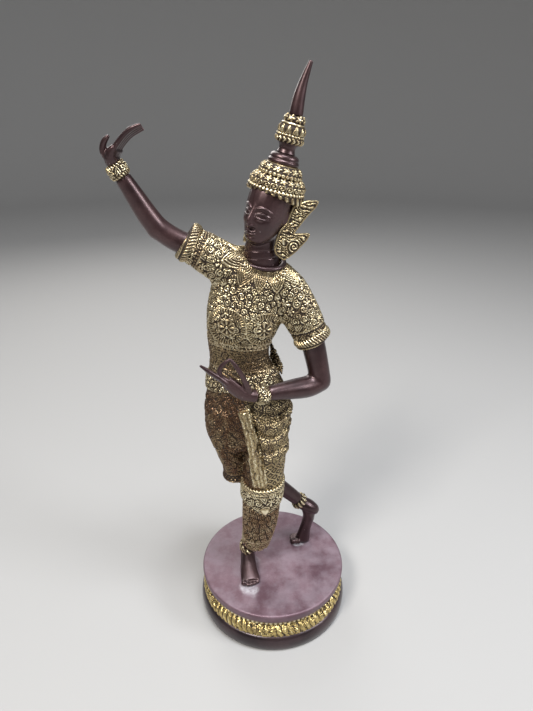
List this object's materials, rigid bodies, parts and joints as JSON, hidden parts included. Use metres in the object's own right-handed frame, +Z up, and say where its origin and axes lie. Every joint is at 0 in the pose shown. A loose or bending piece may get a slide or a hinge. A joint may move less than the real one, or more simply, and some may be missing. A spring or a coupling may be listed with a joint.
{
  "type": "cast bronze temple dancer statuette",
  "caption": "Cast dancer in a relief costume and spired crown, one arm raised, standing on a round stepped base.",
  "frame": {"origin": "centre of the underside of the round base", "axes": "+Z up along the base's axis, the dancer faces -Y, her left is +X"},
  "size_m": [0.166, 0.125, 0.4192],
  "materials": {
    "dark_patina": "dark purple-brown patina, semi-gloss",
    "gilt_relief": "pale gold relief with dark recesses",
    "brown_relief": "brown-gold relief, worn bright on the ridges",
    "base_patina": "dark brown patina, semi-gloss",
    "worn_plate": "dusty mauve-brown patina, worn",
    "steel": "plain"
  },
  "bodies": {
    "root": {"plinth": "base_patina", "gilt_collar": "gilt_relief", "bead_ring": "gilt_relief", "top_plate": "worn_plate", "foot_screws": "steel", "foot_washers": "steel", "left_foot": "dark_patina", "left_anklet": "gilt_relief", "left_legging": "brown_relief", "hip_casting": "gilt_relief", "right_thigh_wrap": "brown_relief", "right_shin": "dark_patina", "right_anklet": "gilt_relief", "right_foot": "dark_patina", "hip_swags": "gilt_relief", "front_sash": "gilt_relief", "knee_apron": "gilt_relief", "waist_belt": "gilt_relief", "belt_boss": "gilt_relief", "waist_fin": "gilt_relief", "bodice": "gilt_relief", "right_sleeve": "gilt_relief", "left_sleeve": "gilt_relief", "right_cuff": "gilt_relief", "left_cuff": "gilt_relief", "neckline_ring": "dark_patina", "right_arm": "dark_patina", "right_bracelet": "gilt_relief", "right_hand": "dark_patina", "left_arm": "dark_patina", "left_bracelet": "gilt_relief", "left_hand": "dark_patina", "head": "dark_patina", "right_ear_ornament": "gilt_relief", "left_ear_ornament": "gilt_relief", "crown_rim": "gilt_relief", "crown_tier": "gilt_relief", "crown_dome": "gilt_relief", "crown_collar": "dark_patina", "crown_neck": "dark_patina", "crown_bulb": "gilt_relief", "spire": "dark_patina"}
  },
  "joints": []
}
